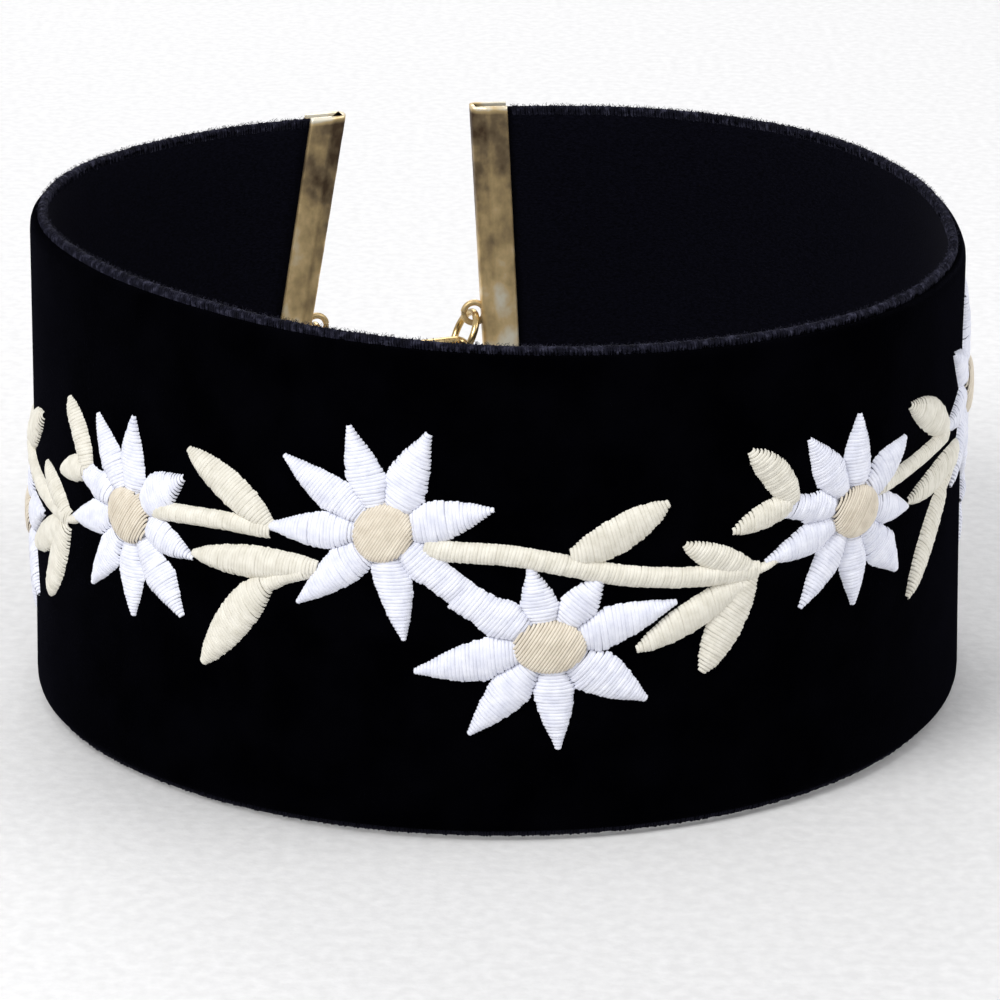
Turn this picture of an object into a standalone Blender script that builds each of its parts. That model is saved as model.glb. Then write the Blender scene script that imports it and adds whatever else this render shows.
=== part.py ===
"""Velvet ribbon choker with an embroidered row of daisies, standing on its lower edge.

Metres, +Z up. The front of the loop faces -Y, and its clasp is at the back.
Run with: blender --background --python part.py
"""

import math

import bmesh
import bpy
import numpy as np
from mathutils import Matrix, Vector

# Ribbon: a woven ground, bare along both edges, with a raised velvet pile outside
RIBBON_WIDTH = 0.050
GROUND_THICKNESS = 0.0010
PILE_THICKNESS = 0.0008
BARE_EDGE = 0.0010
EDGE_ROUND = 0.0001
PILE_SHOULDER = 0.0012
CRUSHED_PILE = 0.0001
RIBBON_STATIONS = 84

# Loop: distances along the ribbon run from the front, at half height, positive to the right
LOOP_RADIUS = 0.0466
GAP_AZIMUTH = 107.2
GAP_WIDTH = 0.0209
LEFT_LEAN = 0.0094
RIGHT_LEAN = 0.0028
LEAN_FADE = 0.045

# Columns: azimuth in degrees, upper edge's radius, lower edge's radius, as shares of LOOP_RADIUS
OUTLINE = (
    (0, 0.960, 0.995),
    (22.5, 0.975, 1.025),
    (45, 1.020, 1.045),
    (67.5, 1.020, 1.025),
    (90, 0.975, 0.975),
    (112.5, 0.960, 0.960),
    (135, 1.015, 1.010),
    (157.5, 1.060, 1.040),
    (180, 1.035, 1.045),
    (202.5, 0.970, 1.040),
    (225, 0.940, 1.015),
    (247.5, 0.970, 0.995),
    (270, 1.015, 0.980),
    (292.5, 1.040, 0.975),
    (315, 1.040, 0.975),
    (337.5, 1.000, 0.980),
)

# Ribbon crimps: folded channels that grip the ribbon's ends, with an eyelet near half height
CRIMP_DEPTH = 0.0042
CRIMP_WALL = 0.0005
CRIMP_FOLD = 0.0008
EYELET_RADIUS = 0.0012
EYELET_WIRE = 0.00035
EYELET_RAISE = 0.0008

# Clasp and jump rings, which hang slack between the eyelets. RING_HANG is in degrees below level
JUMP_RING_RADIUS = 0.0026
JUMP_RING_WIRE = 0.0004
RING_HANG = 65
CLASP_WIDTH = 0.0042
CLASP_WIRE = 0.00065
CLASP_PLAY = 0.0014

# Embroidery: pads of satin stitch on the pile
SEAT_GAP = 0.0003
PATTERN_PITCH = 0.0786
ROW_RISE = 0.0031
LEVEL_BEYOND = 0.070
DAISY_RADIUS = 0.0110
PETAL_WIDTH = 0.0038
PETAL_HEIGHT = 0.0009
PETAL_BELLY = 0.38
DAISY_RIM = 0.0021
CENTRE_RADIUS = 0.0031
CENTRE_HEIGHT = 0.0012
LEAF_WIDTH = 0.0036
LEAF_HEIGHT = 0.0008
LEAF_BELLY = 0.48
STEM_WIDTH = 0.0019
STEM_HEIGHT = 0.0007

# Columns: name, place along and above the ribbon's middle as shares of PATTERN_PITCH,
# then the centre's long and short radius as shares of CENTRE_RADIUS and its tilt in degrees
DAISIES = (
    ("high_daisy", -0.153, 0.083, 1.00, 0.87, 40),
    ("low_daisy", 0.047, -0.060, 1.10, 0.85, -4),
    ("single_daisy", 0.454, 0.045, 1.00, 0.85, -20),
)

# Columns: direction in degrees, length as a share of DAISY_RADIUS, width as a share of PETAL_WIDTH
PETALS = {
    "high_daisy": (
        (148, 1.12, 0.95),
        (109, 0.99, 1.00),
        (66, 1.01, 1.00),
        (14, 0.97, 1.00),
        (-38, 0.80, 0.90),
        (-80, 0.97, 0.90),
        (-139, 1.10, 0.90),
        (-177, 1.13, 0.92),
    ),
    "low_daisy": (
        (99, 0.74, 0.86),
        (54, 0.77, 0.95),
        (13, 1.02, 1.05),
        (-34, 1.03, 1.10),
        (-85, 0.96, 0.92),
        (-131, 1.08, 1.00),
        (-169, 1.20, 1.05),
        (148, 0.92, 1.10),
    ),
    "single_daisy": (
        (126, 1.00, 0.95),
        (91, 0.90, 0.97),
        (34, 0.85, 1.10),
        (-15, 0.88, 0.80),
        (-47, 1.07, 1.20),
        (-84, 0.92, 1.00),
        (-126, 0.95, 0.95),
        (-166, 0.98, 0.90),
        (160, 0.68, 0.90),
    ),
}

# Columns: width as a share of STEM_WIDTH, then the points, as shares of PATTERN_PITCH
STEMS = {
    "short_vine": ((0.95, ((-0.500, 0.061), (-0.440, 0.066), (-0.380, 0.070), (-0.305, 0.070))),),
    "trailing_leaves": ((0.80, ((-0.250, 0.026), (-0.285, 0.014), (-0.318, -0.004))),),
    "long_vine": (
        (1.10, ((-0.074, 0.062), (0.000, 0.059), (0.064, 0.043), (0.127, 0.025))),
        (1.00, ((0.110, 0.029), (0.170, 0.016), (0.240, 0.008), (0.308, 0.002))),
    ),
    "leaf_pair": (),
}

# Columns: base, middle and tip, each along and up as shares of PATTERN_PITCH,
# then the width as a share of LEAF_WIDTH
LEAVES = {
    "short_vine": ((-0.308, 0.074, -0.369, 0.113, -0.440, 0.149, 1.00),),
    "trailing_leaves": (
        (-0.240, 0.030, -0.337, 0.025, -0.428, 0.020, 0.90),
        (-0.308, 0.004, -0.358, -0.050, -0.407, -0.116, 1.10),
    ),
    "long_vine": (
        (0.072, 0.052, 0.131, 0.078, 0.187, 0.110, 1.05),
        (0.302, 0.003, 0.255, 0.028, 0.209, 0.054, 0.75),
        (0.297, -0.006, 0.223, -0.040, 0.153, -0.075, 0.95),
        (0.300, -0.002, 0.268, -0.060, 0.239, -0.117, 1.15),
    ),
    "leaf_pair": (
        (0.356, 0.074, 0.327, 0.122, 0.289, 0.160, 0.85),
        (0.358, 0.081, 0.318, 0.074, 0.271, 0.060, 0.78),
    ),
}

# Which daisies each vine runs up to: name and how many pitches away
NEIGHBOURS = {
    "short_vine": (("single_daisy", -1), ("high_daisy", 0)),
    "trailing_leaves": (("single_daisy", -1), ("high_daisy", 0)),
    "long_vine": (("high_daisy", 0), ("low_daisy", 0), ("single_daisy", 0)),
    "leaf_pair": (("single_daisy", 0),),
}

# Colours: red, green and blue, roughness, metallic
FINISHES = {
    "velvet": ((0.004, 0.004, 0.008), 0.95, 0.0),
    "white_thread": ((0.80, 0.82, 0.90), 0.60, 0.0),
    "cream_thread": ((0.76, 0.70, 0.58), 0.60, 0.0),
    "antique_brass": ((0.30, 0.23, 0.13), 0.45, 1.0),
    "gold_plate": ((0.70, 0.52, 0.24), 0.30, 1.0),
}

GROUND_INSIDE = -(GROUND_THICKNESS + PILE_THICKNESS) / 2
GROUND_OUTSIDE = GROUND_INSIDE + GROUND_THICKNESS
PILE_OUTSIDE = GROUND_OUTSIDE + PILE_THICKNESS


UPPER_EDGE = [upper for azimuth, upper, lower in OUTLINE]
LOWER_EDGE = [lower for azimuth, upper, lower in OUTLINE]


def outline_radius(azimuth, edge):
    """Radius of the loop at an azimuth, as a smooth closed curve through one edge's column of OUTLINE."""
    values = np.array(edge) * LOOP_RADIUS
    place_in_rows = np.degrees(azimuth) % 360 / 360 * len(edge)
    first = np.floor(place_in_rows).astype(int)
    f = place_in_rows - first
    a, b, c, d = (values[(first + step) % len(edge)] for step in (-1, 0, 1, 2))
    return 0.5 * (2 * b + (c - a) * f + (2 * a - 5 * b + 4 * c - d) * f**2 + (3 * b - a - 3 * c + d) * f**3)


def middle_radius(azimuth):
    """Radius to the outside of the pile, at half height."""
    return (outline_radius(azimuth, UPPER_EDGE) + outline_radius(azimuth, LOWER_EDGE)) / 2 + PILE_OUTSIDE


FRONT = math.radians(-90)
AZIMUTHS = np.radians(np.linspace(-290, 110, 4001))
PATH = middle_radius(AZIMUTHS)[:, None] * np.column_stack((np.cos(AZIMUTHS), np.sin(AZIMUTHS)))
STEPS = np.hypot(*np.diff(PATH, axis=0).T)
ALONG = np.concatenate(([0.0], np.cumsum(STEPS)))
ALONG -= np.interp(FRONT, AZIMUTHS, ALONG)
LEFT_END = np.interp(math.radians(GAP_AZIMUTH - 360), AZIMUTHS, ALONG) + GAP_WIDTH / 2
RIGHT_END = np.interp(math.radians(GAP_AZIMUTH), AZIMUTHS, ALONG) - GAP_WIDTH / 2


def smooth_step(share):
    share = np.clip(share, 0, 1)
    return share * share * (3 - 2 * share)


def lean_at(along):
    """How far the upper edge runs ahead of the lower edge, towards the nearer end of the ribbon."""
    left = LEFT_LEAN * smooth_step((LEFT_END + LEAN_FADE - along) / LEAN_FADE)
    right = RIGHT_LEAN * smooth_step((along - RIGHT_END + LEAN_FADE) / LEAN_FADE)
    return left - right


def edge_point(along, edge, out):
    """Point seen from above, beside one edge of the ribbon and outward from its outline."""
    azimuth = np.interp(along, ALONG, AZIMUTHS)
    step = 0.001
    radius = outline_radius(azimuth, edge)
    slope = (outline_radius(azimuth + step, edge) - outline_radius(azimuth - step, edge)) / (2 * step)
    cos, sin = np.cos(azimuth), np.sin(azimuth)
    tangent_x, tangent_y = slope * cos - radius * sin, slope * sin + radius * cos
    length = np.hypot(tangent_x, tangent_y)
    x = radius * cos + out * tangent_y / length
    y = radius * sin - out * tangent_x / length
    return np.stack((x, y), -1)


def place(along, height, out):
    """A point of the ribbon: along it, above its lower edge, and outward from its middle surface."""
    along, height, out = np.broadcast_arrays(*(np.asarray(v, float) for v in (along, height, out)))
    lean = lean_at(along)
    upper = edge_point(along - lean / 2, UPPER_EDGE, out)
    lower = edge_point(along + lean / 2, LOWER_EDGE, out)
    plan = lower + (upper - lower) * (height / RIBBON_WIDTH)[..., None]
    return np.concatenate((plan, height[..., None]), -1)


def frame_at(along, height, out):
    """Matrix at a point of the ribbon, with X along it, Y up it and Z outward."""
    step = 0.0002
    ahead, behind = (Vector(place(along + way * step, height, out)) for way in (1, -1))
    above, below = (Vector(place(along, height + way * step, out)) for way in (1, -1))
    along_it = (ahead - behind).normalized()
    outward = along_it.cross(above - below).normalized()
    up_it = outward.cross(along_it)
    here = Matrix.Translation(place(along, height, out))
    return here @ Matrix((along_it, up_it, outward)).transposed().to_4x4()


def material(name):
    found = bpy.data.materials.get(name)
    if found:
        return found
    colour, roughness, metallic = FINISHES[name]
    made = bpy.data.materials.new(name)
    made.use_nodes = True
    shader = made.node_tree.nodes["Principled BSDF"]
    shader.inputs["Base Color"].default_value = (*colour, 1)
    shader.inputs["Roughness"].default_value = roughness
    shader.inputs["Metallic"].default_value = metallic
    made.diffuse_color = (*colour, 1)
    return made


def add_object(name, mesh, finish=None, collection=None):
    obj = bpy.data.objects.new(name, mesh)
    (collection or CHOKER).objects.link(obj)
    if finish:
        mesh.materials.clear()
        mesh.materials.append(material(finish))
        obj.parent = CHOKER_EMPTY
    return obj


def mesh_from(bm, name):
    """Mesh of a closed solid, with its faces turned outward."""
    bmesh.ops.recalc_face_normals(bm, faces=bm.faces)
    if bm.calc_volume(signed=True) < 0:
        bmesh.ops.reverse_faces(bm, faces=bm.faces)
    mesh = bpy.data.meshes.new(name)
    bm.to_mesh(mesh)
    bm.free()
    return mesh


def loft(name, rings):
    """Closed solid through rings of points that match one another, with both ends capped."""
    bm = bmesh.new()
    rows = [[bm.verts.new(point) for point in ring] for ring in rings]
    count = len(rows[0])
    for row, following in zip(rows, rows[1:]):
        for i in range(count):
            j = (i + 1) % count
            bm.faces.new((row[i], row[j], following[j], following[i]))
    bm.faces.new(rows[0])
    bm.faces.new(reversed(rows[-1]))
    return mesh_from(bm, name)


def evaluated_mesh(obj):
    bpy.context.view_layer.update()
    return bpy.data.meshes.new_from_object(obj.evaluated_get(bpy.context.evaluated_depsgraph_get()))


def helper(name, mesh):
    return add_object(name, mesh, collection=CUTTERS)


def combined(name, body, joined=(), cut=()):
    """Mesh of a helper joined with some helpers and cut by others, which are all removed after."""
    for piece, operation in [(p, "UNION") for p in joined] + [(p, "DIFFERENCE") for p in cut]:
        modifier = body.modifiers.new(operation.lower(), "BOOLEAN")
        modifier.solver = "EXACT"
        modifier.operation = operation
        modifier.object = piece
    mesh = evaluated_mesh(body)
    mesh.name = name
    for piece in (body, *joined, *cut):
        bpy.data.objects.remove(piece)
    return mesh


def ribbon_section(pile):
    """Height and outward offset of the ribbon's outline, for a pile of this thickness."""
    low, high = EDGE_ROUND, RIBBON_WIDTH - EDGE_ROUND
    inner_half = [
        (low, GROUND_INSIDE),
        (high, GROUND_INSIDE),
        (RIBBON_WIDTH, GROUND_INSIDE + EDGE_ROUND),
        (RIBBON_WIDTH, GROUND_OUTSIDE - EDGE_ROUND),
        (high, GROUND_OUTSIDE),
    ]
    shoulder = [(0.0, 0.0), (0.1, 0.45), (0.4, 0.85), (1.0, 1.0)]
    pile_rise = [(BARE_EDGE + a * PILE_SHOULDER, GROUND_OUTSIDE + b * pile) for a, b in shoulder]
    upper = [(RIBBON_WIDTH - height, out) for height, out in pile_rise]
    lower = list(reversed(pile_rise))
    foot = [(low, GROUND_OUTSIDE), (0.0, GROUND_OUTSIDE - EDGE_ROUND), (0.0, GROUND_INSIDE + EDGE_ROUND)]
    return inner_half + upper + lower + foot


def velvet_band():
    start = LEFT_END + CRIMP_WALL + SEAT_GAP
    end = RIGHT_END - CRIMP_WALL - SEAT_GAP
    stations = np.linspace(start, end, RIBBON_STATIONS + 1)
    rings = []
    for along in stations:
        grip = CRIMP_DEPTH + SEAT_GAP
        inside = min(along - LEFT_END, RIGHT_END - along)
        freed = float(smooth_step((inside - grip) / CRIMP_DEPTH))
        section = np.array(ribbon_section(CRUSHED_PILE + (PILE_THICKNESS - CRUSHED_PILE) * freed))
        rings.append(place(along, section[:, 0], section[:, 1]))
    add_object("velvet_band", loft("velvet_band", rings), "velvet")


def crimp_section():
    """Distance in from the crimp's folded edge, and outward offset, round the folded channel."""
    inner = GROUND_INSIDE - SEAT_GAP
    outer = GROUND_OUTSIDE + CRUSHED_PILE + SEAT_GAP
    low, high = inner - CRIMP_WALL, outer + CRIMP_WALL
    return (
        (CRIMP_DEPTH, high),
        (CRIMP_FOLD, high),
        (CRIMP_FOLD * 0.3, high - CRIMP_FOLD * 0.35),
        (0.0, high - CRIMP_FOLD),
        (0.0, low + CRIMP_FOLD),
        (CRIMP_FOLD * 0.3, low + CRIMP_FOLD * 0.35),
        (CRIMP_FOLD, low),
        (CRIMP_DEPTH, low),
        (CRIMP_DEPTH, inner),
        (CRIMP_WALL, inner),
        (CRIMP_WALL, outer),
        (CRIMP_DEPTH, outer),
    )


CRIMP_MIDDLE = (GROUND_INSIDE + GROUND_OUTSIDE + CRUSHED_PILE) / 2
HALF_HEIGHT = RIBBON_WIDTH / 2


def eyelet_frame(end, inward):
    """Middle of an eyelet's hole. inward is +1 at the left end of the ribbon and -1 at the right."""
    along = end - inward * (EYELET_RADIUS - EYELET_WIRE)
    return frame_at(along, HALF_HEIGHT + EYELET_RAISE, CRIMP_MIDDLE)


def torus(name, radius, wire, frame, around, across):
    bpy.ops.mesh.primitive_torus_add(
        major_radius=radius, minor_radius=wire, major_segments=around, minor_segments=across
    )
    made = bpy.context.object
    mesh = made.data
    mesh.name = name
    mesh.transform(frame)
    bpy.data.objects.remove(made)
    return mesh


def ribbon_crimp(name, end, inward):
    section = np.array(crimp_section())
    along = end + inward * section[:, 0]
    levels = np.linspace(0, RIBBON_WIDTH, 5)
    channel = helper("channel", loft("channel", [place(along, h, section[:, 1]) for h in levels]))
    eyelet = helper(
        "eyelet", torus("eyelet", EYELET_RADIUS, EYELET_WIRE, eyelet_frame(end, inward), 14, 6)
    )
    add_object(name, combined(name, channel, joined=[eyelet]), "antique_brass")


def flat_loop(name, points, wire):
    """Closed wire through points in the XY plane, as a mesh."""
    curve = bpy.data.curves.new(name, "CURVE")
    curve.dimensions = "3D"
    curve.bevel_depth = wire
    curve.bevel_resolution = 2
    spline = curve.splines.new("POLY")
    spline.points.add(len(points) - 1)
    for point, (x, y) in zip(spline.points, points):
        point.co = (x, y, 0, 1)
    spline.use_cyclic_u = True
    guide = helper(name, curve)
    mesh = evaluated_mesh(guide)
    bpy.data.objects.remove(guide)
    return mesh


def closure():
    """Jump ring, clasp and jump ring, each passing through the middle of the next one's hole."""
    left = eyelet_frame(LEFT_END, 1).translation
    right = eyelet_frame(RIGHT_END, -1).translation
    up = Vector((0, 0, 1))
    line = (right - left).normalized()
    across = up.cross(line)
    hang = math.radians(RING_HANG)
    feet = []
    for name, eyelet, way in (("left_jump_ring", left, line), ("right_jump_ring", right, -line)):
        down = way * math.cos(hang) - up * math.sin(hang)
        turn = Matrix((down, across, down.cross(across))).transposed().to_4x4()
        centre = Matrix.Translation(eyelet + down * JUMP_RING_RADIUS)
        add_object(name, torus(name, JUMP_RING_RADIUS, JUMP_RING_WIRE, centre @ turn, 16, 6), "gold_plate")
        feet.append(eyelet + down * 2 * JUMP_RING_RADIUS)
    reach = (feet[1] - feet[0]).length
    near = EYELET_RADIUS + CLASP_WIRE * 0.7
    far = reach + CLASP_PLAY
    half = (CLASP_WIDTH - 2 * CLASP_WIRE) / 2
    shoulder = far - half
    turns = np.radians(np.linspace(-90, 90, 9))
    hook = [(shoulder + half * math.cos(t), half * math.sin(t)) for t in turns]
    upper_neck = [(near + half * 0.8, half * 0.85), (near, half * 0.2)]
    lower_neck = [(x, -y) for x, y in reversed(upper_neck)]
    base = Matrix.Translation(feet[0]) @ Matrix((line, up, line.cross(up))).transposed().to_4x4()
    loop = flat_loop("hook", hook + upper_neck + lower_neck, CLASP_WIRE)
    loop.transform(base)
    eye = torus("eye", EYELET_RADIUS, EYELET_WIRE * 1.1, base, 14, 6)
    clasp = combined("lobster_clasp", helper("hook", loop), joined=[helper("eye", eye)])
    add_object("lobster_clasp", clasp, "gold_plate")


def pad(name, base, middle, tip, width, height, belly):
    """Padded satin stitch: a long squashed sphere from base to tip, bent through its middle.

    belly is how far along, as a share, it is widest.
    """
    base, middle, tip = (np.array(p, float) for p in (base, middle, tip))
    bend = 2 * middle - (base + tip) / 2
    bm = bmesh.new()
    bmesh.ops.create_uvsphere(bm, u_segments=6, v_segments=7, radius=1)
    for vert in bm.verts:
        across, thick = vert.co.x, vert.co.y
        share = ((vert.co.z + 1) / 2) ** math.log(belly, 0.5)
        here = base * (1 - share) ** 2 + bend * 2 * share * (1 - share) + tip * share**2
        run = (bend - base) * (1 - share) + (tip - bend) * share
        run = run / np.hypot(*run)
        fullness = (1 - vert.co.z**2) ** 0.15
        side = across * width / 2 * fullness
        vert.co = (here[0] - run[1] * side, here[1] + run[0] * side, thick * height)
    return helper(name, mesh_from(bm, name))


def stem(name, points, width, height):
    """Rounded strip of satin stitch along points."""
    curve = bpy.data.curves.new(name, "CURVE")
    curve.dimensions = "3D"
    curve.bevel_depth = width / 2
    curve.bevel_resolution = 2
    curve.use_fill_caps = True
    curve.twist_mode = "Z_UP"
    spline = curve.splines.new("POLY")
    spline.points.add(len(points) - 1)
    for point, (x, y) in zip(spline.points, points):
        point.co = (x, y, 0, 1)
    guide = helper(name, curve)
    mesh = evaluated_mesh(guide)
    bpy.data.objects.remove(guide)
    mesh.transform(Matrix.Diagonal((1, 1, 2 * height / width, 1)))
    bm = bmesh.new()
    bm.from_mesh(mesh)
    bmesh.ops.remove_doubles(bm, verts=bm.verts, dist=1e-6)
    return helper(name, mesh_from(bm, name))


def oval(name, centre, radii, tilt, height):
    """Upright oval disc, reaching height above and below the seat."""
    bm = bmesh.new()
    bmesh.ops.create_cone(
        bm, cap_ends=True, segments=16, radius1=1, radius2=1, depth=2 * height
    )
    shape = Matrix.Translation((*centre, 0)) @ Matrix.Rotation(math.radians(tilt), 4, "Z")
    bm.transform(shape @ Matrix.Diagonal((*radii, 1, 1)))
    return helper(name, mesh_from(bm, name))


def below_seat():
    """Block that takes away whatever is under the embroidery's flat underside."""
    bm = bmesh.new()
    bmesh.ops.create_cube(bm, size=4 * PATTERN_PITCH)
    bm.transform(Matrix.Translation((0, 0, -2 * PATTERN_PITCH)))
    return helper("below_seat", mesh_from(bm, "below_seat"))


def pitches(*shares):
    return tuple(share * PATTERN_PITCH for share in shares)


def daisy_pieces(name, grown=0.0, shift=0):
    """Petals and rim of one daisy, laid flat. grown widens them, to cut clearances with."""
    row = next(row for row in DAISIES if row[0] == name)
    centre = np.array(pitches(row[1] + shift, row[2]))
    radii = np.array(row[3:5]) * CENTRE_RADIUS
    height = PETAL_HEIGHT * (3 if grown else 1)
    pieces = [oval("rim", centre, radii + DAISY_RIM + grown, row[5], height * 0.75)]
    for direction, length, width in PETALS[name]:
        angle = math.radians(direction)
        way = np.array((math.cos(angle), math.sin(angle)))
        base = centre + way * CENTRE_RADIUS * 0.7
        tip = centre + way * (length * DAISY_RADIUS + grown)
        width = width * PETAL_WIDTH + 2 * grown
        pieces.append(pad("petal", base, (base + tip) / 2, tip, width, height, PETAL_BELLY))
    return pieces


def grown_daisy(name, shift=0):
    """Solid that keeps other embroidery clear of a daisy."""
    rim, *petals = daisy_pieces(name, grown=SEAT_GAP, shift=shift)
    return helper("grown_daisy", combined("grown_daisy", rim, petals))


def flat_daisy(name):
    row = next(row for row in DAISIES if row[0] == name)
    centre, radii = pitches(*row[1:3]), np.array(row[3:5]) * CENTRE_RADIUS
    cut = [oval("seat", centre, radii + SEAT_GAP, row[5], 4 * PETAL_HEIGHT), below_seat()]
    if name == "low_daisy":
        cut.append(grown_daisy("high_daisy"))
    rim, *petals = daisy_pieces(name)
    return combined(name, rim, petals, cut)


def flat_centre(name):
    row = next(row for row in DAISIES if row[0] == name)
    bm = bmesh.new()
    bmesh.ops.create_uvsphere(bm, u_segments=14, v_segments=8, radius=1)
    shape = Matrix.Translation((*pitches(*row[1:3]), CENTRE_HEIGHT * 0.1))
    shape = shape @ Matrix.Rotation(math.radians(row[5]), 4, "Z")
    radii = np.array(row[3:5]) * CENTRE_RADIUS
    bm.transform(shape @ Matrix.Diagonal((*radii, CENTRE_HEIGHT * 0.9, 1)))
    dome = helper("dome", mesh_from(bm, "dome"))
    return combined(name, dome, cut=[below_seat()])


def flat_vine(name):
    pieces = [
        stem("stem", [pitches(*point) for point in points], width * STEM_WIDTH, STEM_HEIGHT)
        for width, points in STEMS[name]
    ]
    for base_x, base_y, middle_x, middle_y, tip_x, tip_y, width in LEAVES[name]:
        ends = pitches(base_x, base_y), pitches(middle_x, middle_y), pitches(tip_x, tip_y)
        pieces.append(pad("leaf", *ends, width * LEAF_WIDTH, LEAF_HEIGHT, LEAF_BELLY))
    cut = [grown_daisy(daisy, away) for daisy, away in NEIGHBOURS[name]]
    body, *others = pieces
    return combined(name, body, others, [*cut, below_seat()])


def copies_that_fit(flat):
    """How many pitches along the ribbon each copy of a flat piece goes, all clear of the crimps."""
    along = [vert.co.x for vert in flat.vertices]
    margin = CRIMP_DEPTH + SEAT_GAP
    first = math.ceil((LEFT_END + margin - min(along)) / PATTERN_PITCH)
    last = math.floor((RIGHT_END - margin - max(along)) / PATTERN_PITCH)
    return range(first, last + 1)


def lay_on_ribbon(flat, name, repeat, finish):
    """Wraps a flat piece of embroidery onto the pile, so many pitches along the ribbon."""
    bm = bmesh.new()
    bm.from_mesh(flat)
    bmesh.ops.triangulate(bm, faces=bm.faces, ngon_method="BEAUTY")
    points = np.array([vert.co for vert in bm.verts])
    along = points[:, 0] + repeat * PATTERN_PITCH
    rise = ROW_RISE / PATTERN_PITCH * np.clip(along, -LEVEL_BEYOND, LEVEL_BEYOND)
    wrapped = place(along, HALF_HEIGHT + points[:, 1] + rise, PILE_OUTSIDE + SEAT_GAP + points[:, 2])
    for vert, point in zip(bm.verts, wrapped):
        vert.co = point
    add_object(name, mesh_from(bm, name), finish)


def embroidery():
    for row in DAISIES:
        name = row[0]
        petals, centre = flat_daisy(name), flat_centre(name)
        for number, repeat in enumerate(copies_that_fit(petals), 1):
            lay_on_ribbon(petals, f"{name}_{number}", repeat, "white_thread")
            lay_on_ribbon(centre, f"{name}_{number}_centre", repeat, "cream_thread")
    for name in LEAVES:
        vine = flat_vine(name)
        for number, repeat in enumerate(copies_that_fit(vine), 1):
            lay_on_ribbon(vine, f"{name}_{number}", repeat, "cream_thread")


def centre_on_origin():
    """Moves the choker so that the middle of its footprint is over the origin."""
    meshes = [obj.data for obj in CHOKER.objects if obj.data]
    points = np.array([vert.co for mesh in meshes for vert in mesh.vertices])
    middle = (points.min(0) + points.max(0)) / 2
    CHOKER_EMPTY.location = (-middle[0], -middle[1], 0)


for old in list(bpy.data.objects):
    bpy.data.objects.remove(old)
CHOKER = bpy.data.collections.new("velvet_daisy_choker")
CUTTERS = bpy.data.collections.new("cutters")
bpy.context.scene.collection.children.link(CHOKER)
bpy.context.scene.collection.children.link(CUTTERS)
CUTTERS.hide_render = True
CHOKER_EMPTY = bpy.data.objects.new("choker", None)
CHOKER.objects.link(CHOKER_EMPTY)

velvet_band()
ribbon_crimp("left_ribbon_crimp", LEFT_END, 1)
ribbon_crimp("right_ribbon_crimp", RIGHT_END, -1)
closure()
embroidery()
bpy.context.view_layer.update()
centre_on_origin()
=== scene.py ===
"""Looks of the velvet daisy choker: pile and selvedge, satin stitch, brass crimps and clasp.

Metres, +Z up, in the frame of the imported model. The front of the loop faces -Y.
"""

import math

import bmesh
import bpy
import numpy as np
from mathutils import Matrix, Vector


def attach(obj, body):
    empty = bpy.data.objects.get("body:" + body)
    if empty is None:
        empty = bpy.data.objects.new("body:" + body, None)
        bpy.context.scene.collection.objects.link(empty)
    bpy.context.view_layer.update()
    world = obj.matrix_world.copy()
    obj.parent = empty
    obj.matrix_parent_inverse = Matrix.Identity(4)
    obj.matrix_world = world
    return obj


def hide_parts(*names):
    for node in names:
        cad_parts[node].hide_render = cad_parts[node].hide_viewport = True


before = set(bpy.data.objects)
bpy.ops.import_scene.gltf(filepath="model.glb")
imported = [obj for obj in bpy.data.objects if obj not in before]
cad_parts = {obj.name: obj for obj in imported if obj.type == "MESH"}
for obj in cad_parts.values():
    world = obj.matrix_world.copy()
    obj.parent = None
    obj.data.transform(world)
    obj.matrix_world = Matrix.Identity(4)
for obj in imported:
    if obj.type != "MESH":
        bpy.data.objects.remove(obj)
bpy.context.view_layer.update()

MM = 0.001

# Camera, as the photograph was taken
PHOTO_PIXELS = 1000
CAMERA_DISTANCE = 450 * MM
CAMERA_ELEVATION = math.radians(19.0)
CAMERA_ROLL = math.radians(-0.19)
FOCAL_PIXELS = 4333
SENSOR = 36.0
NEAR_CLIP = 10 * MM
SUBJECT_RIGHT = 1.04 * MM
SUBJECT_UP = 6.0 * MM

# Ribbon and loop, the same sizes as the part's
RIBBON_WIDTH = 50 * MM
GROUND_THICKNESS = 1.0 * MM
PILE_THICKNESS = 0.8 * MM
BARE_EDGE = 1.0 * MM
PILE_SHOULDER = 1.2 * MM
LOOP_RADIUS = 46.6 * MM
LOOP_MIDDLE = (1.5354 * MM, 0.6971 * MM)
GAP_AZIMUTH = 107.2
GAP_WIDTH = 20.9 * MM
LEFT_LEAN = 9.4 * MM
RIGHT_LEAN = 2.8 * MM
LEAN_FADE = 45 * MM

# Azimuths that the ribbon's path is worked out over, in degrees, from before one end to past the other
PATH_START = -290
PATH_END = 110
PATH_POINTS = 4001

# Columns: azimuth in degrees, upper edge's radius, lower edge's radius, as shares of LOOP_RADIUS
OUTLINE = (
    (0, 0.960, 0.995),
    (22.5, 0.975, 1.025),
    (45, 1.020, 1.045),
    (67.5, 1.020, 1.025),
    (90, 0.975, 0.975),
    (112.5, 0.960, 0.960),
    (135, 1.015, 1.010),
    (157.5, 1.060, 1.040),
    (180, 1.035, 1.045),
    (202.5, 0.970, 1.040),
    (225, 0.940, 1.015),
    (247.5, 0.970, 0.995),
    (270, 1.015, 0.980),
    (292.5, 1.040, 0.975),
    (315, 1.040, 0.975),
    (337.5, 1.000, 0.980),
)
UPPER_EDGE = [upper for azimuth, upper, lower in OUTLINE]
LOWER_EDGE = [lower for azimuth, upper, lower in OUTLINE]

# How finely the ribbon is modelled, and where its flat back and flat pile stop short of its edges
RIBBON_STATIONS = 561
ROUND_POINTS = 9
BACK_LEVELS = 15
BACK_MARGIN = 1.6 * MM
PILE_LEVELS = 14
PILE_MARGIN = 4.5 * MM

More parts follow.
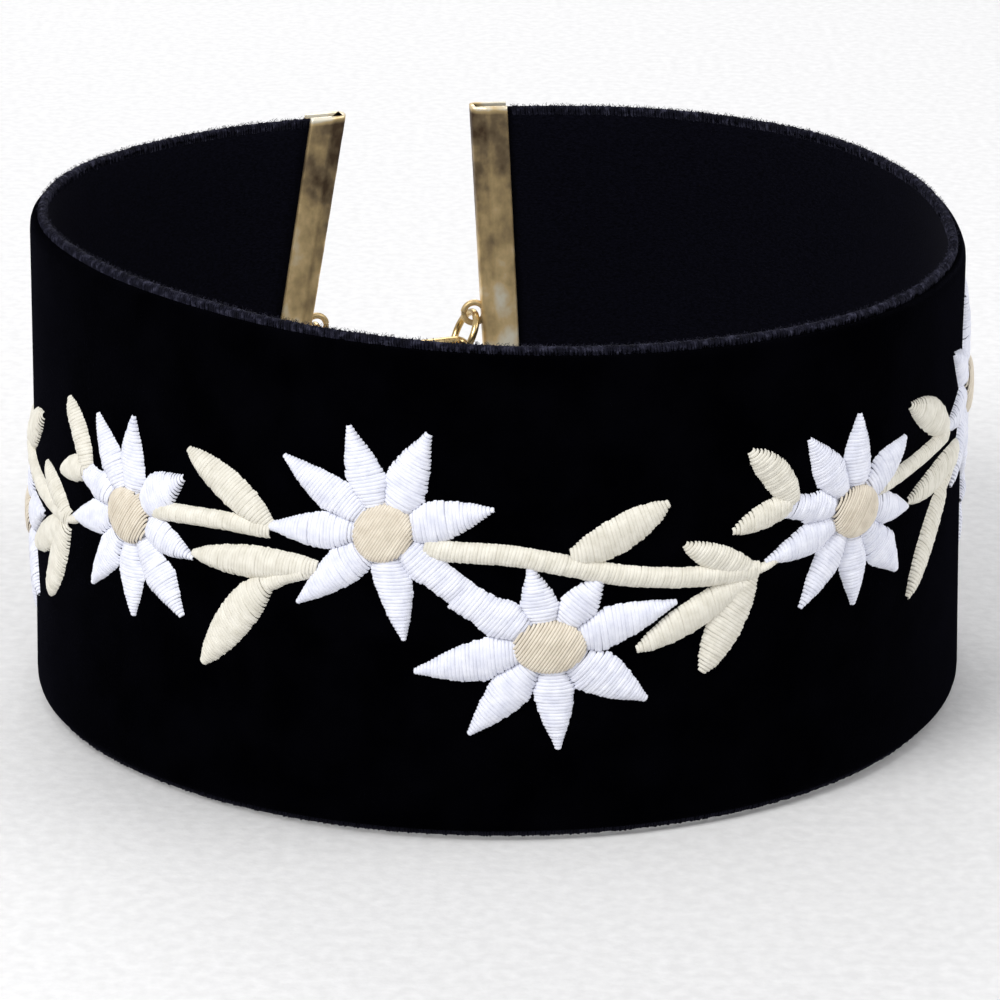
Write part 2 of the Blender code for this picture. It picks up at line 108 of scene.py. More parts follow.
# Columns: share of PILE_SHOULDER in from the bare edge, share of the pile's thickness
PILE_RISE = ((0.00, 0.30), (0.06, 0.58), (0.22, 0.82), (0.50, 0.95), (1.00, 1.00))

# Threads that turn round the ribbon's edges, from and to angles in degrees, and how much they vary
SELVEDGE_SEED = 5
EDGE_THREAD = 0.26 * MM
EDGE_THREAD_PITCH = 0.27 * MM
TURN_POINTS = 7
TURN_SIDES = 5
TURN_ANGLES = (-30, 210)
TURN_WANDER = 0.05 * MM
TURN_SINK = 0.14 * MM
TURN_LEAN = (0.05 * MM, 0.25 * MM)
TURN_FOOT = 0.3 * MM
TURN_SPREAD = 1.05

# Loose fibres on the upper edge
FUZZ_FIBRES = 4200
FUZZ_WIDTH = 0.04 * MM
FUZZ_SIDES = 3
FUZZ_ANGLES = (20, 160)
FUZZ_REACH = (0.0, 0.55, 1.0)
FUZZ_LENGTH = (0.12 * MM, 0.38 * MM)
FUZZ_BEND = 0.3 * MM

# Crimps and clasp. CRIMP_END_LEVELS and CRIMP_TUCK are shares of CRIMP_END. INNER_CORNERS counts
# the last points of a crimp's section. DENT_WAVES are in radians per metre, and DENT_SHIFT in radians
FOLD_POINTS = 7
CRIMP_DEPTH = 4.2 * MM
CRIMP_WALL = 0.5 * MM
CRIMP_FOLD = 0.8 * MM
CRIMP_END = 0.5 * MM
CRIMP_CREASE = 1.7 * MM
CREASE_DROP = 0.3 * MM
CREASE_HALF = 0.2 * MM
CREASE_STEP = 0.06 * MM
CRIMP_LEVELS = 61
CRIMP_END_LEVELS = (0, 0.3, 0.65)
CRIMP_TUCK = 0.45
INNER_CORNERS = 4
DENT_DEPTH = 0.05 * MM
DENT_WAVES = (760, 2100)
DENT_SHIFT = 1
CRUSHED_PILE = 0.1 * MM
SEAT_GAP = 0.3 * MM
EYELET_RADIUS = 1.2 * MM
EYELET_WIRE = 0.35 * MM
EYELET_POINTS = 40
WIRE_SIDES = 14
EYELET_RAISE = 0.8 * MM
JUMP_RING_RADIUS = 2.6 * MM
JUMP_RING_WIRE = 0.4 * MM
JUMP_RING_POINTS = 56
RING_HANG = math.radians(65)
CLASP_WIDTH = 4.2 * MM
CLASP_WIRE = 0.65 * MM
CLASP_PLAY = 1.4 * MM
BOW_POINTS = 19
CLASP_EYE_WIRE = 1.1 * EYELET_WIRE
CLASP_NECK_START = 0.7 * CLASP_WIRE

# Neck of the clasp, away from its eye and sideways, as shares of half the clasp's inner width
CLASP_NECK = ((0.80, 0.85), (0.00, 0.20), (0.00, -0.20), (0.80, -0.85))

# Embroidery. The row climbs ROW_RISE in a pitch, and is level beyond LEVEL_BEYOND from the front
PATTERN_PITCH = 78.6 * MM
ROW_RISE = 3.1 * MM
LEVEL_BEYOND = 70 * MM
DAISY_RADIUS = 11.0 * MM
PETAL_WIDTH = 3.8 * MM
CENTRE_RADIUS = 3.1 * MM
LEAF_WIDTH = 3.6 * MM
STEM_WIDTH = 1.9 * MM
PETAL_HEIGHT = 0.75 * MM
LEAF_HEIGHT = 0.75 * MM
STEM_HEIGHT = 0.82 * MM
CENTRE_HEIGHT = 1.20 * MM
THREAD_PITCH = 0.34 * MM
THREAD_WIDTH = 0.45 * MM
THREAD_THICKNESS = 0.19 * MM
SLOPE_STEP = 0.3 * MM
CENTRE_THREAD_PITCH = 0.28 * MM
CENTRE_THREAD_WIDTH = 0.32 * MM
CENTRE_THREAD_ANGLE = math.radians(57)
SEAM = -0.02 * MM

# Satin stitch. A row of stitches is lower at its ends and where it is narrow
STITCH_POINTS = 7
STITCH_SLANT = 0.12
LEAF_SLANT = 0.20
SLANT_VARIES = 0.03
PITCH_VARIES = 0.08
SIDE_VARIES = (-0.05, 0.03)
HEIGHT_VARIES = 0.05
ARCH_FLATNESS = 2.4
ARCH_FULLNESS = 0.62
END_HEIGHT = 0.48
END_START = 0.5 * MM
END_LENGTH = 1.5 * MM
NARROW_HEIGHT = 0.5
FULL_WIDTH = 2.5 * MM

# Petals start under the centre, at a share of its oval. The centre is a dome of straight threads
PETAL_START = 0.84
DOME_FULLNESS = 0.4
CENTRE_POINTS = 11
CENTRE_REACH_VARIES = (-0.03, 0.02)
CENTRE_VARIES = 0.03

# Columns: place along and above the ribbon's middle as shares of PATTERN_PITCH, then the
# centre's long and short radius as shares of CENTRE_RADIUS and its tilt in degrees
DAISIES = {
    "high_daisy": (-0.153, 0.083, 1.00, 0.87, 40),
    "low_daisy": (0.047, -0.060, 1.10, 0.85, -4),
    "single_daisy": (0.454, 0.045, 1.00, 0.85, -20),
}

# Columns: direction in degrees, length as a share of DAISY_RADIUS, width as a share of
# PETAL_WIDTH, and width across the tip as a share of the petal's own
PETALS = {
    "high_daisy": (
        (148, 1.12, 0.95, 0.09),
        (109, 0.98, 1.00, 0.10),
        (66, 0.99, 1.05, 0.15),
        (14, 0.98, 1.00, 0.07),
        (-38, 0.86, 0.95, 0.86),
        (-80, 0.98, 0.90, 0.09),
        (-139, 1.08, 0.90, 0.10),
        (-177, 1.13, 0.92, 0.22),
    ),
    "low_daisy": (
        (103, 0.74, 0.86, 0.24),
        (54, 0.77, 0.95, 0.26),
        (15, 1.14, 1.00, 0.12),
        (-34, 1.03, 1.10, 0.13),
        (-85, 0.97, 0.92, 0.13),
        (-131, 1.06, 1.00, 0.08),
        (-169, 1.19, 1.05, 0.10),
        (148, 0.92, 1.05, 0.84),
    ),
    "single_daisy": (
        (126, 1.00, 0.95, 0.09),
        (91, 0.90, 0.97, 0.12),
        (34, 0.85, 1.10, 0.12),
        (-15, 0.88, 0.80, 0.12),
        (-47, 1.07, 1.20, 0.14),
        (-84, 0.92, 1.00, 0.12),
        (-126, 0.95, 0.95, 0.12),
        (-166, 1.00, 0.90, 0.12),
        (163, 0.80, 0.92, 0.72),
    ),
}

# Columns: width as a share of STEM_WIDTH, then the points, as shares of PATTERN_PITCH
STEMS = {
    "short_vine": ((0.95, ((-0.500, 0.061), (-0.440, 0.066), (-0.380, 0.070), (-0.305, 0.070))),),
    "trailing_leaves": ((0.80, ((-0.250, 0.026), (-0.285, 0.014), (-0.318, -0.004))),),
    "long_vine": (
        (
            1.08,
            (
                (-0.103, 0.067),
                (-0.074, 0.062),
                (0.000, 0.059),
                (0.064, 0.043),
                (0.127, 0.025),
                (0.200, 0.012),
                (0.308, 0.002),
            ),
        ),
        (0.46, ((0.296, 0.001), (0.320, 0.006), (0.342, 0.016))),
    ),
    "leaf_pair": (),
}

# Columns: base, middle and tip, each along and up as shares of PATTERN_PITCH,
# then the width as a share of LEAF_WIDTH
LEAVES = {
    "short_vine": ((-0.308, 0.074, -0.369, 0.113, -0.440, 0.149, 1.00),),
    "trailing_leaves": (
        (-0.240, 0.030, -0.337, 0.025, -0.428, 0.020, 0.90),
        (-0.308, 0.004, -0.358, -0.050, -0.407, -0.116, 1.10),
    ),
    "long_vine": (
        (0.072, 0.052, 0.131, 0.078, 0.187, 0.110, 1.05),
        (0.302, 0.003, 0.255, 0.028, 0.209, 0.054, 0.75),
        (0.297, -0.006, 0.223, -0.040, 0.153, -0.075, 0.95),
        (0.300, -0.002, 0.268, -0.060, 0.239, -0.117, 1.15),
    ),
    "leaf_pair": (
        (0.356, 0.074, 0.327, 0.122, 0.289, 0.160, 0.85),
        (0.358, 0.081, 0.318, 0.074, 0.271, 0.060, 0.78),
    ),
}

# The copy of the pattern that faces the front, counted from the left
FRONT_COPY = 2

# Columns: share of the way from base to tip, share of the full width. The tip has its own share
PETAL_SHAPE = (
    (0.00, 1.16),
    (0.28, 1.14),
    (0.42, 1.04),
    (0.58, 0.86),
    (0.74, 0.60),
    (0.88, 0.32),
)
LEAF_SHAPE = (
    (0.00, 0.42),
    (0.12, 0.70),
    (0.30, 0.95),
    (0.50, 1.00),
    (0.70, 0.86),
    (0.87, 0.58),
)
LEAF_TIP = 0.17

GROUND_INSIDE = -(GROUND_THICKNESS + PILE_THICKNESS) / 2
GROUND_OUTSIDE = GROUND_INSIDE + GROUND_THICKNESS
PILE_OUTSIDE = GROUND_OUTSIDE + PILE_THICKNESS
HALF_HEIGHT = RIBBON_WIDTH / 2
MIDDLE_OF_GROUND = (GROUND_INSIDE + GROUND_OUTSIDE) / 2
MIDDLE_IN_CRIMP = (GROUND_INSIDE + GROUND_OUTSIDE + CRUSHED_PILE) / 2

# The ribbon's finishes, in the order of its materials
BACK, SELVEDGE, PILE = 0, 1, 2

# Setting, in metres. Columns of the soft boxes: name, position, diameter, power in watts
FLOOR_REACH = 2.0
FLOOR_DROP = 0.02 * MM
LIT_POINT = Vector((0, 0, 0.02))
SKY_COLOUR = (0.95, 0.96, 1.0, 1)
SKY_STRENGTH = 0.62
SOFT_BOXES = (
    ("high_soft_box", (-0.35, -0.45, 0.60), 0.4, 4.7),
    ("right_soft_box", (0.60, -0.10, 0.45), 0.4, 1.8),
    ("back_soft_box", (-0.10, 0.60, 0.50), 0.5, 2.2),
)


# The ribbon's path

def outline_radius(azimuth, edge):
    """Radius of the loop at an azimuth, as a smooth closed curve through OUTLINE."""
    values = np.array(edge) * LOOP_RADIUS
    place_in_rows = np.degrees(azimuth) % 360 / 360 * len(edge)
    first = np.floor(place_in_rows).astype(int)
    share = place_in_rows - first
    before, here, after, beyond = (values[(first + step) % len(edge)] for step in (-1, 0, 1, 2))
    square = 2 * before - 5 * here + 4 * after - beyond
    cube = 3 * here - before - 3 * after + beyond
    return 0.5 * (2 * here + (after - before) * share + square * share**2 + cube * share**3)


def middle_radius(azimuth):
    return (outline_radius(azimuth, UPPER_EDGE) + outline_radius(azimuth, LOWER_EDGE)) / 2 + PILE_OUTSIDE


FRONT = math.radians(-90)
AZIMUTHS = np.radians(np.linspace(PATH_START, PATH_END, PATH_POINTS))
PATH = middle_radius(AZIMUTHS)[:, None] * np.column_stack((np.cos(AZIMUTHS), np.sin(AZIMUTHS)))
ALONG = np.concatenate(([0.0], np.cumsum(np.hypot(*np.diff(PATH, axis=0).T))))
ALONG -= np.interp(FRONT, AZIMUTHS, ALONG)
LEFT_END = np.interp(math.radians(GAP_AZIMUTH - 360), AZIMUTHS, ALONG) + GAP_WIDTH / 2
RIGHT_END = np.interp(math.radians(GAP_AZIMUTH), AZIMUTHS, ALONG) - GAP_WIDTH / 2


def smooth_step(share):
    share = np.clip(share, 0, 1)
    return share * share * (3 - 2 * share)


def lean_at(along):
    """How far the upper edge runs ahead of the lower edge, towards the nearer end of the ribbon."""
    left = LEFT_LEAN * smooth_step((LEFT_END + LEAN_FADE - along) / LEAN_FADE)
    right = RIGHT_LEAN * smooth_step((along - RIGHT_END + LEAN_FADE) / LEAN_FADE)
    return left - right


def edge_point(along, edge, out):
    azimuth = np.interp(along, ALONG, AZIMUTHS)
    step = 0.001
    radius = outline_radius(azimuth, edge)
    slope = (outline_radius(azimuth + step, edge) - outline_radius(azimuth - step, edge)) / (2 * step)
    cos, sin = np.cos(azimuth), np.sin(azimuth)
    tangent_x, tangent_y = slope * cos - radius * sin, slope * sin + radius * cos
    length = np.hypot(tangent_x, tangent_y)
    x = radius * cos + out * tangent_y / length + LOOP_MIDDLE[0]
    y = radius * sin - out * tangent_x / length + LOOP_MIDDLE[1]
    return np.stack((x, y), -1)


def place(along, height, out):
    """A point of the ribbon: along it, above its lower edge, and outward from its middle surface."""
    along, height, out = np.broadcast_arrays(*(np.asarray(v, float) for v in (along, height, out)))
    lean = lean_at(along)
    upper = edge_point(along - lean / 2, UPPER_EDGE, out)
    lower = edge_point(along + lean / 2, LOWER_EDGE, out)
    plan = lower + (upper - lower) * (height / RIBBON_WIDTH)[..., None]
    return np.concatenate((plan, height[..., None]), -1)


def frame_at(along, height, out):
    """Matrix at a point of the ribbon, with X along it, Y up it and Z outward."""
    step = 0.2 * MM
    ahead, behind = (Vector(place(along + way * step, height, out)) for way in (1, -1))
    above, below = (Vector(place(along, height + way * step, out)) for way in (1, -1))
    along_it = (ahead - behind).normalized()
    outward = along_it.cross(above - below).normalized()
    up_it = outward.cross(along_it)
    here = Matrix.Translation(place(along, height, out))
    return here @ Matrix((along_it, up_it, outward)).transposed().to_4x4()


# Materials

def new_material(name, values):
    """Material and its shader, with the shader's own values set by name."""
    made = bpy.data.materials.new(name)
    made.use_nodes = True
    shader = made.node_tree.nodes["Principled BSDF"]
    for key, value in values.items():
        shader.inputs[key].default_value = value
    return made, shader


def node(material, kind, inputs=None, **settings):
    made = material.node_tree.nodes.new(kind)
    for key, value in settings.items():
        setattr(made, key, value)
    for key, value in (inputs or {}).items():
        made.inputs[key].default_value = value
    return made


def link(material, source, target):
    material.node_tree.links.new(source, target)


def object_noise(material, scale, detail=3.0, stretch=(1, 1, 1)):
    """Noise on Object coordinates, in features per metre."""
    coords = node(material, "ShaderNodeTexCoord")
    mapping = node(material, "ShaderNodeMapping", {"Scale": stretch})
    noise = node(material, "ShaderNodeTexNoise", {"Scale": scale, "Detail": detail})
    link(material, coords.outputs["Object"], mapping.inputs["Vector"])
    link(material, mapping.outputs["Vector"], noise.inputs["Vector"])
    return noise.outputs["Fac"]


def ramp(material, source, stops):
    """Colour ramp through (position, colour) stops."""
    made = node(material, "ShaderNodeValToRGB")
    elements = made.color_ramp.elements
    while len(elements) < len(stops):
        elements.new(0.5)
    for element, (position, colour) in zip(elements, stops):
        element.position = position
        element.color = (*colour, 1)
    link(material, source, made.inputs["Fac"])
    return made.outputs["Color"]


def coloured(material, shader, source, stops):
    """Colour of the surface, from a value that runs through the stops of a ramp."""
    link(material, ramp(material, source, stops), shader.inputs["Base Color"])


def bump(material, shader, source, strength, distance):
    made = node(material, "ShaderNodeBump", {"Strength": strength, "Distance": distance})
    link(material, source, made.inputs["Height"])
    link(material, made.outputs["Normal"], shader.inputs["Normal"])


def velvet_pile():
    values = {
        "Roughness": 1.0,
        "Specular IOR Level": 0.0,
        "Sheen Weight": 0.026,
        "Sheen Roughness": 0.3,
        "Sheen Tint": (0.42, 0.42, 0.62, 1),
    }
    made, shader = new_material("black_velvet_pile", values)
    shade = object_noise(made, 160, 4)
    coloured(made, shader, shade, ((0.35, (0.0003, 0.0003, 0.0006)), (0.7, (0.0009, 0.0009, 0.0016))))
    bump(made, shader, object_noise(made, 5200, 2), 0.55, 0.25 * MM)
    return made


def woven_back():
    values = {
        "Roughness": 0.9,
        "Specular IOR Level": 0.02,
        "Sheen Weight": 0.006,
        "Sheen Tint": (0.5, 0.5, 0.75, 1),
    }
    made, shader = new_material("navy_black_backing", values)
    fine = object_noise(made, 2600, 2, (1, 1, 2.2))
    coloured(made, shader, fine, ((0.3, (0.0013, 0.0013, 0.0026)), (0.75, (0.0038, 0.0038, 0.0076))))
    bump(made, shader, fine, 0.5, 0.12 * MM)
    return made


def selvedge_weave(name, light=(0.043, 0.043, 0.068)):
    values = {
        "Roughness": 0.9,
        "Specular IOR Level": 0.1,
        "Sheen Weight": 0.03,
        "Sheen Tint": (0.6, 0.6, 0.9, 1),
    }
    made, shader = new_material(name, values)
    fine = object_noise(made, 1500, 3)
    stops = ((0.32, (0.0015, 0.0015, 0.004)), (0.52, (0.006, 0.006, 0.013)), (0.75, light))
    coloured(made, shader, fine, stops)
    bump(made, shader, fine, 0.8, 0.2 * MM)
    return made


def satin_thread(name, shade, light):
    values = {
        "Roughness": 0.55,
        "Specular IOR Level": 0.4,
        "Sheen Weight": 0.05,
        "Sheen Roughness": 0.4,
    }
    made, shader = new_material(name, values)
    coloured(made, shader, object_noise(made, 900, 3), ((0.3, shade), (0.7, light)))
    bump(made, shader, object_noise(made, 9000, 2), 0.25, 0.05 * MM)
    return made


def measured(material, source, low, high, at_low, at_high):
    """A value that runs from at_low to at_high while its source runs from low to high."""
    made = node(material, "ShaderNodeMapRange")
    for key, value in (("From Min", low), ("From Max", high), ("To Min", at_low), ("To Max", at_high)):
        made.inputs[key].default_value = value
    link(material, source, made.inputs["Value"])
    return made.outputs["Result"]


def added(material, *sources):
    whole = sources[0]
    for source in sources[1:]:
        made = node(material, "ShaderNodeMath", operation="ADD")
        link(material, whole, made.inputs[0])
        link(material, source, made.inputs[1])
        whole = made.outputs["Value"]
    return whole


def aged_brass():
    """Brass, paler towards the foot and darkest beside the fold near the top. Its top end carries a
    painted highlight that stands for the reflection of the bright sky.
    """
    made, shader = new_material("mottled_antique_brass", {"Metallic": 0.6})
    coords = node(made, "ShaderNodeTexCoord")
    split = node(made, "ShaderNodeSeparateXYZ")
    link(made, coords.outputs["Object"], split.inputs["Vector"])
    height = split.outputs["Z"]
    from_fold = node(made, "ShaderNodeAttribute", attribute_name="from_fold").outputs["Fac"]
    fold_shade = measured(made, from_fold, 0.34, 0.46, -0.10, 0.03)
    # Paler lower down and darker towards the top, by height alone
    paler_towards_foot = measured(made, height, RIBBON_WIDTH, 0.40 * RIBBON_WIDTH, -0.12, 0.36)
    # Painted highlight: the colour of the top end is lightened to stand for the bright sky's reflection
    painted_end_highlight = measured(made, height, RIBBON_WIDTH - 0.9 * MM, RIBBON_WIDTH - 0.3 * MM, 0.0, 0.5)
    # Random mottling, the fold and height tones, and the painted highlight, summed into one value
    mottle_and_painted_highlight = added(made, object_noise(made, 380, 4, (1, 1, 0.8)), fold_shade, paler_towards_foot, painted_end_highlight)
    stops = (
        (0.28, (0.075, 0.045, 0.022)),
        (0.42, (0.20, 0.145, 0.080)),
        (0.60, (0.50, 0.365, 0.18)),
        (0.74, (0.74, 0.55, 0.28)),
        (0.95, (0.90, 0.84, 0.68)),
    )
    coloured(made, shader, mottle_and_painted_highlight, stops)
    rough = ramp(made, mottle_and_painted_highlight, ((0.3, (0.62, 0.62, 0.62)), (0.7, (0.42, 0.42, 0.42))))
    link(made, rough, shader.inputs["Roughness"])
    bump(made, shader, object_noise(made, 1500, 4), 0.25, 0.08 * MM)
    return made


def pale_gold():
    made, shader = new_material("pale_gold_plate", {"Metallic": 1.0, "Roughness": 0.28})
    tarnish = object_noise(made, 700, 3)
    coloured(made, shader, tarnish, ((0.35, (0.52, 0.36, 0.15)), (0.7, (0.78, 0.60, 0.30))))
    bump(made, shader, object_noise(made, 2400, 2), 0.08, 0.03 * MM)
    return made


def pale_floor():
    made, shader = new_material("pale_floor", {"Roughness": 0.85})
    grain = object_noise(made, 700, 5)
    coloured(made, shader, grain, ((0.35, (0.66, 0.655, 0.65)), (0.7, (0.73, 0.725, 0.72))))
    bump(made, shader, object_noise(made, 900, 3), 0.3, 0.2 * MM)
    return made


# Making pieces

def add_piece(name, mesh, materials, slot, *replaced):
    """Object with its materials that rides on the root body and stands for the named nodes."""
    piece = bpy.data.objects.new(name, mesh)
    bpy.context.scene.collection.objects.link(piece)
    if materials:
        mesh.materials.clear()
        for finish in materials:
            mesh.materials.append(finish)
    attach(piece, "root")
    if replaced:
        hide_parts(*replaced)
    return piece


def lofted(name, sections):
    """Smooth closed body through sections that have equally many points, with flat ends."""
    around = len(sections[0])
    last = (len(sections) - 1) * around
    faces = []
    for first in range(0, last, around):
        for i in range(around):
            j = (i + 1) % around
            faces.append((first + i, first + j, first + around + j, first + around + i))
    faces.append(tuple(range(around - 1, -1, -1)))
    faces.append(tuple(range(last, last + around)))
    mesh = bpy.data.meshes.new(name)
    mesh.from_pydata([tuple(p) for p in np.concatenate(sections)], [], faces)
    mesh.update()
    mesh.polygons.foreach_set("use_smooth", [True] * len(mesh.polygons))
    turn_outward(mesh)
    return mesh


def evaluated_mesh(obj):
    bpy.context.view_layer.update()
    return bpy.data.meshes.new_from_object(obj.evaluated_get(bpy.context.evaluated_depsgraph_get()))


def thread_tree():
    """Geometry Nodes that lay a thread along every line of guide edges, wider than it is thick."""
    tree = bpy.data.node_groups.new("thread_along_guides", "GeometryNodeTree")
    face = tree.interface
    sizes = {"Width": "Float", "Thickness": "Float", "Sides": "Int"}
    for name, kind in {"Guides": "Geometry", **sizes, "Finish": "Material"}.items():
        face.new_socket(name, in_out="INPUT", socket_type=f"NodeSocket{kind}")
    face.new_socket("Threads", in_out="OUTPUT", socket_type="NodeSocketGeometry")
    nodes = tree.nodes
    start, end = nodes.new("NodeGroupInput"), nodes.new("NodeGroupOutput")
    to_curve = nodes.new("GeometryNodeMeshToCurve")
    level = nodes.new("GeometryNodeSetCurveNormal")
    level.mode = "Z_UP"
    circle = nodes.new("GeometryNodeCurvePrimitiveCircle")
    circle.inputs["Radius"].default_value = 0.5
    section = nodes.new("ShaderNodeCombineXYZ")
    flatten = nodes.new("GeometryNodeTransform")
    thread = nodes.new("GeometryNodeCurveToMesh")
    thread.inputs["Fill Caps"].default_value = True
    smooth = nodes.new("GeometryNodeSetShadeSmooth")
    realize = nodes.new("GeometryNodeRealizeInstances")
    finish = nodes.new("GeometryNodeSetMaterial")
    for source, target in (
        (start.outputs["Guides"], to_curve.inputs["Mesh"]),
        (to_curve.outputs["Curve"], level.inputs["Curve"]),
        (start.outputs["Sides"], circle.inputs["Resolution"]),
        (start.outputs["Width"], section.inputs["X"]),
        (start.outputs["Thickness"], section.inputs["Y"]),
        (circle.outputs["Curve"], flatten.inputs["Geometry"]),
        (section.outputs["Vector"], flatten.inputs["Scale"]),
        (level.outputs["Curve"], thread.inputs["Curve"]),
        (flatten.outputs["Geometry"], thread.inputs["Profile Curve"]),
        (thread.outputs["Mesh"], smooth.inputs["Geometry"]),
        (smooth.outputs["Geometry"], realize.inputs["Geometry"]),
        (realize.outputs["Geometry"], finish.inputs["Geometry"]),
        (start.outputs["Finish"], finish.inputs["Material"]),
        (finish.outputs["Geometry"], end.inputs["Threads"]),
    ):
        tree.links.new(source, target)
    return tree


def threads(name, lines, finish, width, thickness, sides=6, closed=False):
    """Mesh of threads along lines of points."""
    points, edges = [], []
    for line in lines:
        first = len(points)
        points.extend(tuple(p) for p in line)
        edges.extend((first + i, first + i + 1) for i in range(len(line) - 1))
        if closed:
            edges.append((len(points) - 1, first))
    guides = bpy.data.meshes.new(name)
    guides.from_pydata(points, edges, [])
    return run_tree(name, THREAD, guides, Width=width, Thickness=thickness, Sides=sides, Finish=finish)


def run_tree(name, tree, mesh, **inputs):
    """Mesh that a Geometry Nodes tree makes from a guide mesh."""
    guide = bpy.data.objects.new(name, mesh)
    bpy.context.scene.collection.objects.link(guide)
    modifier = guide.modifiers.new(tree.name, "NODES")
    modifier.node_group = tree
    inputs_of_tree = [item for item in tree.interface.items_tree if item.in_out == "INPUT"]
    sockets = {item.name: item.identifier for item in inputs_of_tree}
    for key, value in inputs.items():
        modifier[sockets[key]] = value
    made = evaluated_mesh(guide)
    made.name = name
    bpy.data.objects.remove(guide)
    return made


def turn_outward(mesh):
    bm = bmesh.new()
    bm.from_mesh(mesh)
    bmesh.ops.recalc_face_normals(bm, faces=bm.faces)
    if bm.calc_volume(signed=True) < 0:
        bmesh.ops.reverse_faces(bm, faces=bm.faces)
    bm.to_mesh(mesh)
    bm.free()


def joined(name, meshes):
    bm = bmesh.new()
    for mesh in meshes:
        bm.from_mesh(mesh)
    whole = bpy.data.meshes.new(name)
    bm.to_mesh(whole)
    bm.free()
    return whole


# Satin stitch

def pitches(*shares):
    return np.array(shares) * PATTERN_PITCH


def on_ribbon(flat, repeat):
    """Flat pattern points (along, up, raised) to world points on the pile."""
    flat = np.asarray(flat)
    along = flat[..., 0] + repeat * PATTERN_PITCH
    rise = ROW_RISE / PATTERN_PITCH * np.clip(along, -LEVEL_BEYOND, LEVEL_BEYOND)
    return place(along, HALF_HEIGHT + flat[..., 1] + rise, PILE_OUTSIDE + flat[..., 2])


def cross_stitches(line, left, right, height, seed, slant=STITCH_SLANT):
    """Flat stitch paths laid across a line, each arching from its right side over to its left."""
    rng = np.random.default_rng(seed)
    run = np.concatenate(([0.0], np.cumsum(np.hypot(*np.diff(line, axis=0).T))))
    count = max(4, int(run[-1] / THREAD_PITCH))
    across = np.sin(np.linspace(-math.pi / 2, math.pi / 2, STITCH_POINTS))
    arch = (1 - np.abs(across) ** ARCH_FLATNESS) ** ARCH_FULLNESS
    stitches = []
    for i in range(count):
        at = (i + 0.5 + rng.uniform(-PITCH_VARIES, PITCH_VARIES)) / count * run[-1]
        spots = (at, at + SLOPE_STEP, at - SLOPE_STEP)
        here, ahead, behind = np.column_stack([np.interp(spots, run, line[:, k]) for k in (0, 1)])
        way = (ahead - behind) / np.hypot(*(ahead - behind))
        side = np.array((-way[1], way[0]))
        to_left = np.interp(at, run, left) * (1 + rng.uniform(*SIDE_VARIES))
        to_right = np.interp(at, run, right) * (1 + rng.uniform(*SIDE_VARIES))
        reach = np.where(across > 0, across * to_left, across * to_right)
        near_end = min(1.0, (min(at, run[-1] - at) + END_START) / END_LENGTH)
        fullness = min(1.0, NARROW_HEIGHT + (1 - NARROW_HEIGHT) * (to_left + to_right) / FULL_WIDTH)
        rise = (END_HEIGHT + (1 - END_HEIGHT) * near_end) * fullness
        peak = height * rise * (1 + rng.uniform(-HEIGHT_VARIES, HEIGHT_VARIES))
        turn = slant + rng.uniform(-SLANT_VARIES, SLANT_VARIES)
        flat = here + side * reach[:, None] + way * (reach * turn)[:, None]
        stitches.append(np.column_stack((flat, arch * peak - THREAD_THICKNESS / 2)))
    return stitches


def shape_halves(shape, tip, line, width):
    """Half the width of a petal or leaf at each point of its middle line."""
    rows = np.array((*shape, (1.0, tip)))
    shares = np.interp(np.linspace(0, 1, len(line)), rows[:, 0], rows[:, 1])
    return np.maximum(shares, tip) * width / 2


def bent_line(base, middle, tip, count=24):
    base, middle, tip = (np.array(p, float) for p in (base, middle, tip))
    bend = 2 * middle - (base + tip) / 2
    share = np.linspace(0, 1, count)[:, None]
    return base * (1 - share) ** 2 + bend * 2 * share * (1 - share) + tip * share**2


def daisy_stitches(name):
    """Petals in satin stitch. Near the centre each petal stops at the seam with its neighbours."""
    x, y, long_radius, short_radius, tilt = DAISIES[name]
    centre = pitches(x, y)
    directions = sorted(petal[0] for petal in PETALS[name])
    stitches = []
    for number, (direction, length, width, blunt) in enumerate(PETALS[name]):
        turn = directions.index(direction)
        to_next = (directions[(turn + 1) % len(directions)] - direction) % 360
        to_last = (direction - directions[turn - 1]) % 360
        angle = math.radians(direction)
        from_long = angle - math.radians(tilt)
        way = np.array((math.cos(angle), math.sin(angle)))
        oval = math.hypot(math.cos(from_long) / long_radius, math.sin(from_long) / short_radius)
        base = centre + way * PETAL_START * CENTRE_RADIUS / oval
        tip = centre + way * length * DAISY_RADIUS
        line = bent_line(base, (base + tip) / 2, tip)
        from_centre = np.hypot(*(line - centre).T)
        half = shape_halves(PETAL_SHAPE, blunt, line, width * PETAL_WIDTH)
        left = np.minimum(half, from_centre * math.tan(math.radians(to_next / 2)) - SEAM)
        right = np.minimum(half, from_centre * math.tan(math.radians(to_last / 2)) - SEAM)
        stitches += cross_stitches(line, left, right, PETAL_HEIGHT, seed=number + 10 * len(name))
    return stitches


